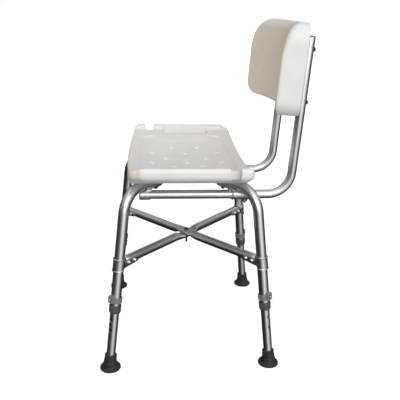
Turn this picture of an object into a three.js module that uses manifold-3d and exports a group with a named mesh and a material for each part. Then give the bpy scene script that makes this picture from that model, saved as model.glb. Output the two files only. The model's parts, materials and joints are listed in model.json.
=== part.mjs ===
// Shower chair: a moulded seat and backrest on two crossed inverted-U leg bows.
// Millimetres, +Z up, the sitter faces -Y and the sitter's left is +X.
// The origin is on the floor, under the centre of the whole chair's bounding box.

import * as THREE from 'three';
import { mergeVertices } from 'three/addons/utils/BufferGeometryUtils.js';
import Module from 'manifold-3d';

// Driving dimensions

const GAP = 0.3;                 // clearance between pieces that touch
const TUBE_WALL = 1.2;
const BOLT_HOLE = 3.4;           // radii of the bolt and rivet holes
const RIVET_HOLE = 2.8;

const LEG_DIAMETER = 25.4;       // upper leg tube, 1 inch
const EXTENSION_DIAMETER = 22.2; // telescoping lower tube, 7/8 inch
const FOOT_RADIUS = 301.5;       // from the chair's middle to a leg axis at floor level
const FOOT_ANGLE = 0.7397;       // of the leg bows' planes from the X axis, radians
const LEG_LEAN = 0.1528;         // of each leg from upright, radians
const BOW_HEIGHT = 453;          // centreline of the bows' level run
const BOW_BEND = 66;             // centreline bend radius
const BOW_FLAT = 10;             // thickness where the two bows cross
const BOW_PRESSED = { flat: 24, half: 38, round: 56 };   // distances from the crossing

const FERRULE = { bottom: 151, lip: 160, top: 171, radius: 15 };
const CLIP = { bottom: 178, top: 192, radius: 15.6, boss: 19.5, bossHalf: 8, bossTop: 198 };
const BUTTON = { height: 188, radius: 3, inner: 14.8, tip: 23.6, hole: 3.4 };
const HOLE_PITCH = 28;
const HOLES_ABOVE = 1;           // adjustment holes above the locked one
const HOLES_BELOW = 3;           // and below it
const EXTENSION = { bottom: 20, top: 300 };
const TIP = { neckTop: 44.5, baseRadius: 26.1, baseCentre: 298.5 };

const BRACE_HEIGHT = 276;
const BRACE_FLAT = 8;            // thickness where the two braces cross
const BRACE_END = 243;           // from the middle to a brace's end
const BRACE_PRESSED = { flat: 24, round: 48 };
const PIVOT = { tip: 248, shank: 3, head: 7, headHigh: 4.6, nut: 6, nutHigh: 6 };
const RIVET = { shank: 2.5, head: 5, high: 5 };
const BRACKET = { bottom: 257, top: 289, thick: 2, tip: 205, rivets: [218.5, 238], rivetHeight: 274.5 };
const EARS = { from: 261, to: 249, top: 281.5, bottom: 264, tipTop: 280.5, tipBottom: 268 };

const BACK_TUBE_X = 114;         // backrest tubes either side of the middle
const BACK_TUBE_Z = 424;
const BACK_TUBE_FRONT = -122;
const BACK_TUBE_CORNER_Y = 249.6;
const BACK_TUBE_TOP = 806;
const BACK_TUBE_BEND = 59;
const BACK_LEAN = 0.0625;        // of the backrest from upright, radians
const BACK_BOLT_HEIGHTS = [656, 779];
const BACK_BOLT = { shank: 2.5, head: 5.8, high: 3.8, inner: 24 };
const PLUG = { depth: 14, high: 3.4 };

const SLEEVE = { inner: 11.5, outer: 13.3, front: [-126, -98], rear: [103, 147], floor: 2.5 };
const SADDLE = { from: 116, to: 172, inner: 13, outer: 16, low: 4 };
const SEAT_BOLT_RADIUS = 125;    // from the middle, along each bow
const SEAT_BOLT = { shank: 3, head: 5.5, high: 4.5, top: 478 };
const INSERT_DEPTH = 479;        // height the bolts' blind holes in the seat reach
const LOCK = { y: 137, radius: 3, slack: 0.4, boss: 7.5, bossDrop: 5, tip: 401, inner: 410.2 };

const SEAT = { halfLength: 253, rimMiddle: 496, rimEnd: 520, panMiddle: 484.5, corner: 18 };
const GRIP_BAR = { top: 526.5, from: 226, to: 236 };     // rises across these distances from the middle
const SEAT_UNDERSIDE = { middle: 466.2, end: 496.5, from: 150, to: 238, edgeWide: 24, edgeRise: 6 };
const DRAIN_RADIUS = 4.2;
const DRAIN_ROWS = [
  { x: -94, y: [-38, 32] },
  { x: -47, y: [-92, -4, 84] },
  { x: 0, y: [-56, 50] },
  { x: 47, y: [-92, -4, 84] },
  { x: 94, y: [-38, 32] },
];
const HAND_SLOT = { x: 211, width: 30, yLow: -62, yHigh: 72, corner: 14 };
const NOTCH = { width: 23, depth: 28, y: 100, corner: 4 };
const SEAT_FRONT = { middle: -156, back: 12 };   // edge lines: at the middle, and how far back at the ends
const SEAT_REAR = { middle: 140, back: 3 };
const PAN = { front: -127, frontBack: 13, rear: 114, rearBack: 9, wall: 16, endFrom: 172, endTo: 184 };
const PAN_DISH = 22;             // rise of the pan from its middle to 190 mm out
const SEAT_MIDDLE_Y = -3.5;      // the slots and notches are alike turned about here

const BACK = { halfWidth: 200, bottom: 630, top: 838, corner: 40 };
const BACK_REAR = { middle: -4.7, arc: 986 };
const BACK_FRONT = { middle: -35, arc: 400, edge: 28, edgeShare: 0.45 };

// Corners of the chair: a leg is front or rear, on the sitter's left (+X) or right

const CORNERS = [
  { name: 'rear_left', turn: FOOT_ANGLE, x: 1, y: 1 },
  { name: 'front_right', turn: FOOT_ANGLE + Math.PI, x: -1, y: -1 },
  { name: 'front_left', turn: -FOOT_ANGLE, x: 1, y: -1 },
  { name: 'rear_right', turn: Math.PI - FOOT_ANGLE, x: -1, y: 1 },
];

// Materials

const ALUMINIUM = { color: 0xc4c6c8, roughness: 0.32, metalness: 1.0 };
const STEEL = { color: 0x9a9c9e, roughness: 0.35, metalness: 1.0 };
const WHITE_PLASTIC = { color: 0xe6e2da, roughness: 0.5, metalness: 0.0 };
const GREY_PLASTIC = { color: 0x8b9196, roughness: 0.5, metalness: 0.0 };
const DARK_PLASTIC = { color: 0x5a5c58, roughness: 0.6, metalness: 0.0 };
const RUBBER = { color: 0x32343a, roughness: 0.8, metalness: 0.0 };

// Solids: boolean cuts and joins

const wasm = await Module();
wasm.setup();

function solid(geometry) {
  const plain = geometry.clone();
  plain.deleteAttribute('normal');
  plain.deleteAttribute('uv');
  const merged = mergeVertices(plain, 1e-4);
  const mesh = new wasm.Mesh({
    numProp: 3,
    vertProperties: Float32Array.from(merged.attributes.position.array),
    triVerts: Uint32Array.from(merged.index.array),
  });
  return new wasm.Manifold(mesh);
}

function geometryOf(manifold) {
  const mesh = manifold.getMesh();
  const geometry = new THREE.BufferGeometry();
  geometry.setAttribute('position', new THREE.BufferAttribute(mesh.vertProperties, 3));
  geometry.setIndex(new THREE.BufferAttribute(mesh.triVerts, 1));
  geometry.computeVertexNormals();
  return geometry;
}

function cut(geometry, tools) {
  const result = tools.reduce((body, tool) => body.subtract(solid(tool)), solid(geometry));
  return geometryOf(result);
}

function join(geometries) {
  const bodies = geometries.map(solid);
  return geometryOf(bodies.reduce((all, body) => all.add(body)));
}

// Shapes

function rod(radius, from, to, sides = 12) {
  const geometry = new THREE.CylinderGeometry(radius, radius, to - from, sides);
  geometry.rotateX(Math.PI / 2);
  geometry.translate(0, 0, (from + to) / 2);
  return geometry;
}

function turned(profile, sides = 16) {
  const points = profile.map(([radius, height]) => new THREE.Vector2(radius, height));
  const geometry = new THREE.LatheGeometry(points, sides);
  geometry.rotateX(Math.PI / 2);
  return geometry;
}

function block(xFrom, xTo, yFrom, yTo, zFrom, zTo) {
  const geometry = new THREE.BoxGeometry(xTo - xFrom, yTo - yFrom, zTo - zFrom);
  geometry.translate((xFrom + xTo) / 2, (yFrom + yTo) / 2, (zFrom + zTo) / 2);
  return geometry;
}

// A straight prism on an outline, from Z 0 up to a height
function prismOf(outline, depth, curveSegments = 5) {
  return new THREE.ExtrudeGeometry(outline, { depth, bevelEnabled: false, curveSegments });
}

// Perimeter of a tube stays the same when it is pressed flat
function flatWidth(diameter, thickness) {
  return (Math.PI * (diameter - thickness)) / 2 + thickness;
}

// A ring of points round a station: a circle, or a round-ended slot where the tube is flat
function sectionRing(station, inset, sides) {
  const high = station.high / 2 - inset;
  const wide = station.wide / 2 - inset;
  const round = Math.min(high, wide);
  const ring = [];
  for (let i = 0; i < sides; i += 1) {
    const angle = ((i + 0.5) / sides) * 2 * Math.PI;
    const up = Math.sign(Math.cos(angle)) * (high - round) + round * Math.cos(angle);
    const across = Math.sign(Math.sin(angle)) * (wide - round) + round * Math.sin(angle);
    ring.push([station.x - up * station.dirZ, across, station.z + up * station.dirX]);
  }
  return ring;
}

// Stations along a path in the XZ plane, with an arc at each waypoint that has a bend
function stationsAlong(waypoints, diameter, bendSteps) {
  const point = (w) => new THREE.Vector2(w.x, w.z);
  const stations = [];
  waypoints.forEach((w, i) => {
    const before = waypoints[i - 1];
    const after = waypoints[i + 1];
    const arriving = before ? point(w).sub(point(before)).normalize() : null;
    const leaving = after ? point(after).sub(point(w)).normalize() : null;
    const size = { high: w.high ?? diameter, wide: w.wide ?? diameter };
    if (!w.bend) {
      const dir = new THREE.Vector2().add(arriving ?? leaving).add(leaving ?? arriving).normalize();
      stations.push({ x: w.x, z: w.z, dirX: dir.x, dirZ: dir.y, ...size });
      return;
    }
    const turn = arriving.angleTo(leaving) * Math.sign(arriving.cross(leaving));
    const reach = w.bend * Math.tan(Math.abs(turn) / 2);
    const start = point(w).sub(arriving.clone().multiplyScalar(reach));
    const side = Math.sign(turn);
    const inward = new THREE.Vector2(-arriving.y, arriving.x).multiplyScalar(side * w.bend);
    const centre = start.clone().add(inward);
    for (let k = 0; k <= bendSteps; k += 1) {
      const dir = arriving.clone().rotateAround(new THREE.Vector2(), (turn * k) / bendSteps);
      const out = new THREE.Vector2(dir.y, -dir.x).multiplyScalar(side * w.bend);
      stations.push({ x: centre.x + out.x, z: centre.y + out.y, dirX: dir.x, dirZ: dir.y, ...size });
    }
  });
  return stations;
}

// A hollow tube along a path in the XZ plane, open at both ends
function tubeAlong(waypoints, diameter, { sides = 16, bendSteps = 6 } = {}) {
  const stations = stationsAlong(waypoints, diameter, bendSteps);
  const rows = [];
  stations.forEach((station) => rows.push(sectionRing(station, 0, sides)));
  [...stations].reverse().forEach((station) => rows.push(sectionRing(station, TUBE_WALL, sides)));
  const position = rows.flat(2);
  const index = [];
  rows.forEach((row, r) => {
    const next = (r + 1) % rows.length;
    for (let i = 0; i < sides; i += 1) {
      const j = (i + 1) % sides;
      const [a, b, c, d] = [r * sides + i, next * sides + i, next * sides + j, r * sides + j];
      index.push(a, b, c, a, c, d);
    }
  });
  const geometry = new THREE.BufferGeometry();
  geometry.setAttribute('position', new THREE.Float32BufferAttribute(position, 3));
  geometry.setIndex(index);
  geometry.computeVertexNormals();
  return geometry;
}

// Leg geometry shared by several pieces

const LEAN_SLOPE = Math.tan(LEG_LEAN);
const BOW_CORNER = FOOT_RADIUS - LEAN_SLOPE * BOW_HEIGHT;

function legRadiusAt(height) {
  return FOOT_RADIUS - LEAN_SLOPE * height;
}

// Turns a geometry made along a leg's own axis into the bow's plane
function leanOut(geometry) {
  geometry.rotateY(-LEG_LEAN);
  geometry.translate(FOOT_RADIUS, 0, 0);
  return geometry;
}

// A hole through one wall of a leg, on its outer side
function buttonHole(height) {
  const hole = new THREE.CylinderGeometry(BUTTON.hole, BUTTON.hole, 12, 10);
  hole.rotateZ(Math.PI / 2);
  hole.translate(12, 0, height);
  return hole;
}

// A round hole right through a level tube, or through whatever stands over it
function drilled(radius, height, reach = 20) {
  return rod(radius, height - reach, height + reach, 10);
}

// The chair's pieces

const chair = new THREE.Group();
chair.name = 'shower_chair';

function add(name, geometry, material, parent = chair) {
  const mesh = new THREE.Mesh(geometry, new THREE.MeshStandardMaterial(material));
  mesh.name = name;
  parent.add(mesh);
  return mesh;
}

function upright(x, y, geometry) {
  return geometry.translate(x, y, 0);
}

// Leg bows: one tube each, crossing flattened under the middle of the seat

function bow(lift) {
  const end = FERRULE.lip + GAP;
  const flatWide = flatWidth(LEG_DIAMETER, BOW_FLAT);
  const legEnd = {
    x: FOOT_RADIUS - end * Math.sin(LEG_LEAN),
    z: end * Math.cos(LEG_LEAN),
  };
  const halfPressed = { high: (LEG_DIAMETER + BOW_FLAT) / 2, wide: (LEG_DIAMETER + flatWide) / 2 };
  const half = [
    legEnd,
    { x: BOW_CORNER, z: BOW_HEIGHT, bend: BOW_BEND },
    { x: BOW_PRESSED.round, z: BOW_HEIGHT },
    { x: BOW_PRESSED.half, z: BOW_HEIGHT + lift / 2, ...halfPressed },
    { x: BOW_PRESSED.flat, z: BOW_HEIGHT + lift, high: BOW_FLAT, wide: flatWide },
  ];
  const mirrored = [...half].reverse().map((w) => ({ ...w, x: -w.x }));
  const tube = tubeAlong([...half, ...mirrored], LEG_DIAMETER, { sides: 14, bendSteps: 5 });
  const holes = [drilled(BOLT_HOLE, BOW_HEIGHT)];
  [-1, 1].forEach((side) => {
    holes.push(drilled(BOLT_HOLE, BOW_HEIGHT).translate(side * SEAT_BOLT_RADIUS, 0, 0));
    const lockHole = leanOut(buttonHole(BUTTON.height));
    holes.push(side > 0 ? lockHole : lockHole.rotateZ(Math.PI));
  });
  return cut(tube, holes);
}

const BOW_LIFT = BOW_FLAT / 2 + GAP;
add('leg_bow_upper', bow(BOW_LIFT), ALUMINIUM).rotation.z = FOOT_ANGLE;
add('leg_bow_lower', bow(-BOW_LIFT), ALUMINIUM).rotation.z = -FOOT_ANGLE;

// Cross braces: level tubes, pressed level where they cross

function brace(lift) {
  const flatWide = flatWidth(EXTENSION_DIAMETER, BRACE_FLAT);
  const half = [
    { x: BRACE_END, z: BRACE_HEIGHT },
    { x: BRACE_PRESSED.round, z: BRACE_HEIGHT },
    { x: BRACE_PRESSED.flat, z: BRACE_HEIGHT + lift, high: BRACE_FLAT, wide: flatWide },
  ];
  const mirrored = [...half].reverse().map((w) => ({ ...w, x: -w.x }));
  const tube = tubeAlong([...half, ...mirrored], EXTENSION_DIAMETER, { sides: 12 });
  const holes = [drilled(BOLT_HOLE, BRACE_HEIGHT)];
  [-1, 1].forEach((side) => {
    BRACKET.rivets.forEach((radius) => {
      holes.push(acrossBrace(drilled(RIVET_HOLE, 0), side * radius));
    });
  });
  return cut(tube, holes);
}

const BRACE_LIFT = BRACE_FLAT / 2 + GAP / 2;
add('cross_brace_upper', brace(BRACE_LIFT), ALUMINIUM).rotation.z = FOOT_ANGLE;
add('cross_brace_lower', brace(-BRACE_LIFT), ALUMINIUM).rotation.z = -FOOT_ANGLE;

const BRACE_TOP = BRACE_HEIGHT + BRACE_LIFT + BRACE_FLAT / 2;
const BRACE_UNDER = BRACE_HEIGHT - BRACE_LIFT - BRACE_FLAT / 2;
const pivotHead = BRACE_TOP + GAP;
const pivotProfile = [
  [0, PIVOT.tip], [PIVOT.shank, PIVOT.tip], [PIVOT.shank, pivotHead], [PIVOT.head, pivotHead],
  [PIVOT.head - 1, pivotHead + PIVOT.headHigh - 1.5], [0, pivotHead + PIVOT.headHigh],
];
add('brace_pivot_bolt', turned(pivotProfile, 12), STEEL);
const pivotNut = rod(PIVOT.nut, BRACE_UNDER - GAP - PIVOT.nutHigh, BRACE_UNDER - GAP, 6);
add('brace_pivot_nut', cut(pivotNut, [drilled(PIVOT.shank + GAP, BRACE_UNDER)]), STEEL);

// Brace brackets: a strap wrapped round the leg, its two ends holding the brace between them

function acrossBrace(geometry, radius) {
  return geometry.rotateX(Math.PI / 2).translate(radius, 0, BRACKET.rivetHeight);
}

const EAR_GAP_HALF = EXTENSION_DIAMETER / 2 + GAP;
const EAR_FACE_HALF = EAR_GAP_HALF + BRACKET.thick;

function braceBracket() {
  const inner = LEG_DIAMETER / 2 + GAP;
  const outer = inner + BRACKET.thick;
  const centre = legRadiusAt(BRACE_HEIGHT);
  const innerAngle = Math.asin(EAR_GAP_HALF / inner);
  const outerAngle = Math.asin(EAR_FACE_HALF / outer);
  const tip = BRACKET.tip - centre;
  const outline = new THREE.Shape();
  outline.moveTo(tip, EAR_FACE_HALF);
  outline.lineTo(-outer * Math.cos(outerAngle), EAR_FACE_HALF);
  outline.absarc(0, 0, outer, Math.PI - outerAngle, outerAngle - Math.PI, true);
  outline.lineTo(tip, -EAR_FACE_HALF);
  outline.lineTo(tip, -EAR_GAP_HALF);
  outline.lineTo(-inner * Math.cos(innerAngle), -EAR_GAP_HALF);
  outline.absarc(0, 0, inner, innerAngle - Math.PI, Math.PI - innerAngle, false);
  outline.lineTo(tip, EAR_GAP_HALF);
  outline.closePath();
  const height = BRACKET.top - BRACKET.bottom;
  const strap = prismOf(outline, height, 10);
  strap.translate(centre, 0, BRACKET.bottom);
  const shear = new THREE.Matrix4().makeShear(0, 0, 0, 0, -LEAN_SLOPE, 0);
  strap.translate(0, 0, -BRACE_HEIGHT).applyMatrix4(shear).translate(0, 0, BRACE_HEIGHT);
  const holes = BRACKET.rivets.map((radius) => acrossBrace(drilled(RIVET_HOLE, 0), radius));
  return geometryOf(solid(cut(strap, holes)).intersect(solid(bracketSide())));
}

// The strap seen from its side: full height round the leg, tapered along its ends
function bracketSide() {
  const side = new THREE.Shape();
  side.moveTo(300, BRACKET.bottom);
  side.lineTo(300, BRACKET.top);
  side.lineTo(EARS.from, BRACKET.top);
  side.lineTo(EARS.to, EARS.top);
  side.lineTo(BRACKET.tip - 1, EARS.tipTop);
  side.lineTo(BRACKET.tip - 1, EARS.tipBottom);
  side.lineTo(EARS.to, EARS.bottom);
  side.lineTo(EARS.from, BRACKET.bottom);
  side.closePath();
  return prismOf(side, 60).rotateX(Math.PI / 2).translate(0, 30, 0);
}

function bracketRivet(radius) {
  const face = EAR_FACE_HALF + GAP / 2;
  const { shank, head, high } = RIVET;
  const profile = [
    [0, -face - high], [head - 1.4, -face - high + 1], [head, -face], [shank, -face],
    [shank, face], [head, face], [head - 1.4, face + high - 1], [0, face + high],
  ];
  return acrossBrace(turned(profile, 8), radius);
}

// Leg extensions with their rubber tips, ferrules, lock clips and buttons

function legExtension() {
  const cuts = [rod(EXTENSION_DIAMETER / 2 - TUBE_WALL, EXTENSION.bottom - 5, EXTENSION.top + 5, 14)];
  for (let step = -HOLES_ABOVE; step <= HOLES_BELOW; step += 1) {
    cuts.push(buttonHole(BUTTON.height - step * HOLE_PITCH));
  }
  return leanOut(cut(rod(EXTENSION_DIAMETER / 2, EXTENSION.bottom, EXTENSION.top, 14), cuts));
}

function rubberTip() {
  const base = turned([
    [0, 0], [TIP.baseRadius - 1, 0], [TIP.baseRadius, 2], [TIP.baseRadius, 5], [22, 9], [18, 13],
    [16.5, 20], [0, 20],
  ], 16);
  base.translate(TIP.baseCentre, 0, 0);
  const neck = leanOut(turned([[0, 8], [16.6, 16], [16.2, 24], [14.2, TIP.neckTop], [0, TIP.neckTop]], 16));
  const socket = leanOut(rod(EXTENSION_DIAMETER / 2 + GAP, EXTENSION.bottom - GAP, TIP.neckTop + 10, 16));
  return cut(join([base, neck]), [socket]);
}

function ferrule() {
  const tubeRadius = LEG_DIAMETER / 2 + GAP;
  const boreRadius = EXTENSION_DIAMETER / 2 + 2 * GAP;
  const { bottom, lip, top, radius } = FERRULE;
  return leanOut(turned([
    [boreRadius, bottom], [radius - 1.8, bottom], [radius, bottom + 4], [radius, top],
    [tubeRadius, top], [tubeRadius, lip], [boreRadius, lip], [boreRadius, bottom],
  ], 16));
}

function lockClip() {
  const band = rod(CLIP.radius, CLIP.bottom, CLIP.top, 16);
  const boss = block(8, CLIP.boss, -CLIP.bossHalf, CLIP.bossHalf, CLIP.bottom + 1.5, CLIP.bossTop);
  const bore = rod(LEG_DIAMETER / 2 + GAP, CLIP.bottom - 5, CLIP.bossTop + 5, 16);
  const buttonBore = rod(BUTTON.hole, 5, 30, 10).rotateY(Math.PI / 2).translate(0, 0, BUTTON.height);
  return leanOut(cut(join([band, boss]), [bore, buttonBore]));
}

function lockButton() {
  const profile = [
    [0, BUTTON.inner], [BUTTON.radius, BUTTON.inner], [BUTTON.radius, BUTTON.tip - 1], [0, BUTTON.tip],
  ];
  return leanOut(turned(profile, 10).rotateY(Math.PI / 2).translate(0, 0, BUTTON.height));
}

// Sleeve brackets: a trough under the bow, welded to a short sleeve that takes a backrest tube

function alongBow(radius, from, to) {
  return rod(radius, from, to, 16).rotateY(Math.PI / 2).translate(0, 0, BOW_HEIGHT);
}

function sleeveBracket(corner) {
  const [from, to] = corner.y < 0 ? SLEEVE.front : SLEEVE.rear;
  const x = corner.x * BACK_TUBE_X;
  const trough = cut(alongBow(SADDLE.outer, SADDLE.from, SADDLE.to), [
    alongBow(SADDLE.inner, SADDLE.from - 5, SADDLE.to + 5),
    block(SADDLE.from - 5, SADDLE.to + 5, -20, 20, BOW_HEIGHT - SADDLE.low, BOW_HEIGHT + 20),
    drilled(BOLT_HOLE, BOW_HEIGHT).translate(SEAT_BOLT_RADIUS, 0, 0),
  ]).rotateZ(corner.turn);
  const alongY = (geometry) => geometry.rotateX(-Math.PI / 2).translate(x, 0, BACK_TUBE_Z);
  const bodies = [trough, alongY(rod(SLEEVE.outer, from, to, 12))];
  const crossY = corner.y * BACK_TUBE_X * Math.tan(FOOT_ANGLE);
  const weldTop = BOW_HEIGHT - SADDLE.inner - 1;
  bodies.push(block(x - 7, x + 7, crossY - 9, crossY + 9, BACK_TUBE_Z + SLEEVE.inner, weldTop));
  const boreFrom = corner.y < 0 ? from + SLEEVE.floor : from - 5;
  const cuts = [alongY(rod(SLEEVE.inner, boreFrom, to + 5, 12))];
  if (corner.y > 0) {
    const bossFrom = BACK_TUBE_Z - SLEEVE.outer - LOCK.bossDrop;
    bodies.push(upright(x, LOCK.y, rod(LOCK.boss, bossFrom, BACK_TUBE_Z - SLEEVE.inner)));
    cuts.push(upright(x, LOCK.y, rod(LOCK.radius + LOCK.slack, bossFrom - 5, BACK_TUBE_Z, 10)));
  }
  return cut(join(bodies), cuts);
}

function seatBolt(radius, turn, under) {
  const { shank, head, high, top } = SEAT_BOLT;
  const tip = under - high;
  const profile = [[0, tip], [head - 1, tip + 0.5], [head, under], [shank, under], [shank, top], [0, top]];
  return turned(profile, 10).translate(radius, 0, 0).rotateZ(turn);
}

CORNERS.forEach((corner) => {
  const plane = new THREE.Group();
  plane.rotation.z = corner.turn;
  chair.add(plane);
  add(`brace_bracket_${corner.name}`, braceBracket(), ALUMINIUM, plane);
  BRACKET.rivets.forEach((radius, i) => {
    add(`bracket_rivet_${corner.name}_${i + 1}`, bracketRivet(radius), STEEL, plane);
  });
  add(`leg_extension_${corner.name}`, legExtension(), ALUMINIUM, plane);
  add(`leg_tip_${corner.name}`, rubberTip(), RUBBER, plane);
  add(`leg_ferrule_${corner.name}`, ferrule(), DARK_PLASTIC, plane);
  add(`leg_clip_${corner.name}`, lockClip(), GREY_PLASTIC, plane);
  add(`leg_button_${corner.name}`, lockButton(), STEEL, plane);
  add(`sleeve_bracket_${corner.name}`, sleeveBracket(corner), ALUMINIUM);
  const under = BOW_HEIGHT - SADDLE.outer - GAP;
  add(`seat_bolt_${corner.name}`, seatBolt(SEAT_BOLT_RADIUS, corner.turn, under), STEEL);
});
const bowUnder = BOW_HEIGHT - BOW_LIFT - BOW_FLAT / 2 - GAP;
add('seat_bolt_centre', seatBolt(0, 0, bowUnder), STEEL);

// Backrest tubes: level under the seat, then up behind it at the backrest's lean

const BACK_SLOPE = Math.tan(BACK_LEAN);

function backTubeY(height) {
  return BACK_TUBE_CORNER_Y + (height - BACK_TUBE_Z) * BACK_SLOPE;
}

// Moves a geometry made upright round the origin to a height on a leaning backrest tube
function onBackTube(geometry, height) {
  return geometry.rotateX(-BACK_LEAN).translate(0, backTubeY(height), height);
}

function backTube() {
  const waypoints = [
    { x: BACK_TUBE_FRONT, z: BACK_TUBE_Z },
    { x: BACK_TUBE_CORNER_Y, z: BACK_TUBE_Z, bend: BACK_TUBE_BEND },
    { x: backTubeY(BACK_TUBE_TOP), z: BACK_TUBE_TOP },
  ];
  const tube = tubeAlong(waypoints, EXTENSION_DIAMETER, { sides: 12 });
  tube.rotateZ(Math.PI / 2);
  const boltHole = () => drilled(RIVET_HOLE, 0).rotateX(Math.PI / 2);
  const cuts = BACK_BOLT_HEIGHTS.map((height) => onBackTube(boltHole(), height));
  cuts.push(upright(0, LOCK.y, rod(LOCK.radius + LOCK.slack, BACK_TUBE_Z - 20, BACK_TUBE_Z, 10)));
  return cut(tube, cuts);
}

function topPlug() {
  const radius = EXTENSION_DIAMETER / 2;
  const stem = radius - TUBE_WALL - 3 * GAP;
  const { depth, high } = PLUG;
  const profile = [
    [0, -depth], [stem, -depth], [stem, GAP], [radius, GAP], [radius - 0.8, high - 0.8], [0, high],
  ];
  return onBackTube(turned(profile, 12), BACK_TUBE_TOP);
}

function backBolt(height) {
  const face = EXTENSION_DIAMETER / 2 + GAP;
  const { shank, head, high, inner } = BACK_BOLT;
  const top = face + high;
  const profile = [
    [0, -inner], [shank, -inner], [shank, face], [head, face], [head - 1.2, top - 1.2], [0, top],
  ];
  return onBackTube(turned(profile, 10).rotateX(-Math.PI / 2), height);
}

[{ name: 'left', x: BACK_TUBE_X }, { name: 'right', x: -BACK_TUBE_X }].forEach((side) => {
  const place = new THREE.Group();
  place.position.x = side.x;
  chair.add(place);
  add(`backrest_tube_${side.name}`, backTube(), ALUMINIUM, place);
  add(`tube_plug_${side.name}`, topPlug(), GREY_PLASTIC, place);
  BACK_BOLT_HEIGHTS.forEach((height, i) => {
    add(`backrest_bolt_${side.name}_${i + 1}`, backBolt(height), STEEL, place);
  });
  const profile = [
    [0, LOCK.tip], [LOCK.radius - 0.6, LOCK.tip], [LOCK.radius, LOCK.tip + 1], [LOCK.radius, LOCK.inner],
    [0, LOCK.inner],
  ];
  add(`back_lock_button_${side.name}`, turned(profile, 10).translate(0, LOCK.y, 0), DARK_PLASTIC, place);
});

// A closed slab between two surfaces over a grid: u and v are lists of grid lines

function slab(us, vs, lowPoint, highPoint) {
  const position = [];
  [lowPoint, highPoint].forEach((pointAt) => {
    us.forEach((u) => vs.forEach((v) => position.push(...pointAt(u, v))));
  });
  const layer = us.length * vs.length;
  const at = (i, j, top) => (top ? layer : 0) + i * vs.length + j;
  const index = [];
  const quad = (a, b, c, d) => index.push(a, b, c, a, c, d);
  for (let i = 0; i < us.length - 1; i += 1) {
    for (let j = 0; j < vs.length - 1; j += 1) {
      quad(at(i, j, true), at(i + 1, j, true), at(i + 1, j + 1, true), at(i, j + 1, true));
      quad(at(i, j, false), at(i, j + 1, false), at(i + 1, j + 1, false), at(i + 1, j, false));
    }
    const last = vs.length - 1;
    quad(at(i, 0, false), at(i + 1, 0, false), at(i + 1, 0, true), at(i, 0, true));
    quad(at(i, last, true), at(i + 1, last, true), at(i + 1, last, false), at(i, last, false));
  }
  for (let j = 0; j < vs.length - 1; j += 1) {
    const last = us.length - 1;
    quad(at(0, j, true), at(0, j + 1, true), at(0, j + 1, false), at(0, j, false));
    quad(at(last, j, false), at(last, j + 1, false), at(last, j + 1, true), at(last, j, true));
  }
  const geometry = new THREE.BufferGeometry();
  geometry.setAttribute('position', new THREE.Float32BufferAttribute(position, 3));
  geometry.setIndex(index);
  geometry.computeVertexNormals();
  return geometry;
}

function evenly(from, to, steps) {
  return Array.from({ length: steps + 1 }, (_, i) => from + ((to - from) * i) / steps);
}

function roundedRectangle(x0, x1, y0, y1, radius) {
  const shape = new THREE.Shape();
  shape.absarc(x1 - radius, y1 - radius, radius, 0, Math.PI / 2, false);
  shape.absarc(x0 + radius, y1 - radius, radius, Math.PI / 2, Math.PI, false);
  shape.absarc(x0 + radius, y0 + radius, radius, Math.PI, 1.5 * Math.PI, false);
  shape.absarc(x1 - radius, y0 + radius, radius, 1.5 * Math.PI, 2 * Math.PI, false);
  shape.closePath();
  return shape;
}

// Seat: a dished pan between raised front and rear rims and a raised grip bar at each end

const { clamp, lerp, smoothstep } = THREE.MathUtils;

const EDGE_AT = 240;             // the edge lines' ends are taken this far out
const PAN_AT = 190;

function seatFrontY(x) {
  return SEAT_FRONT.middle + SEAT_FRONT.back * (x / EDGE_AT) ** 2;
}

function seatRearY(x) {
  return SEAT_REAR.middle - SEAT_REAR.back * (x / EDGE_AT) ** 2;
}

function seatTop(x, y) {
  const reach = Math.abs(x);
  const rim = lerp(SEAT.rimMiddle, SEAT.rimEnd, (reach / SEAT.halfLength) ** 2);
  const dish = SEAT.panMiddle + PAN_DISH * (reach / PAN_AT) ** 2;
  const pan = lerp(dish, rim, smoothstep(reach, PAN.endFrom, PAN.endTo));
  const frontLine = PAN.front + PAN.frontBack * (x / PAN_AT) ** 2;
  const rearLine = PAN.rear - PAN.rearBack * (x / PAN_AT) ** 2;
  const inside = Math.min(y - frontLine, rearLine - y);
  const top = lerp(rim, pan, smoothstep(clamp(inside, 0, PAN.wall), 0, PAN.wall));
  return lerp(top, GRIP_BAR.top, smoothstep(reach, GRIP_BAR.from, GRIP_BAR.to));
}

function seatUnder(x, y) {
  const rise = smoothstep(Math.abs(x), SEAT_UNDERSIDE.from, SEAT_UNDERSIDE.to);
  const { edgeWide, edgeRise } = SEAT_UNDERSIDE;
  const pastEdge = Math.max(seatFrontY(x) - y, y - seatRearY(x)) + edgeWide;
  const edge = smoothstep(pastEdge, 0, edgeWide);
  return lerp(SEAT_UNDERSIDE.middle, SEAT_UNDERSIDE.end, rise) + edgeRise * edge * (1 - rise);
}

function seatOutline() {
  const half = SEAT.halfLength;
  const radius = SEAT.corner;
  const shape = new THREE.Shape();
  shape.moveTo(-half, 0);
  shape.lineTo(-half, seatFrontY(half) + radius);
  shape.quadraticCurveTo(-half, seatFrontY(half), -half + radius, seatFrontY(half - radius));
  evenly(-half + radius, half - radius, 8).slice(1).forEach((x) => shape.lineTo(x, seatFrontY(x)));
  shape.quadraticCurveTo(half, seatFrontY(half), half, seatFrontY(half) + radius);
  shape.lineTo(half, seatRearY(half) - radius);
  shape.quadraticCurveTo(half, seatRearY(half), half - radius, seatRearY(half - radius));
  evenly(half - radius, -half + radius, 4).slice(1).forEach((x) => shape.lineTo(x, seatRearY(x)));
  shape.quadraticCurveTo(-half, seatRearY(half), -half, seatRearY(half) - radius);
  shape.closePath();
  return shape;
}

const SEAT_TOOLS = 440;          // tools that cut the seat start at this height

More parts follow.
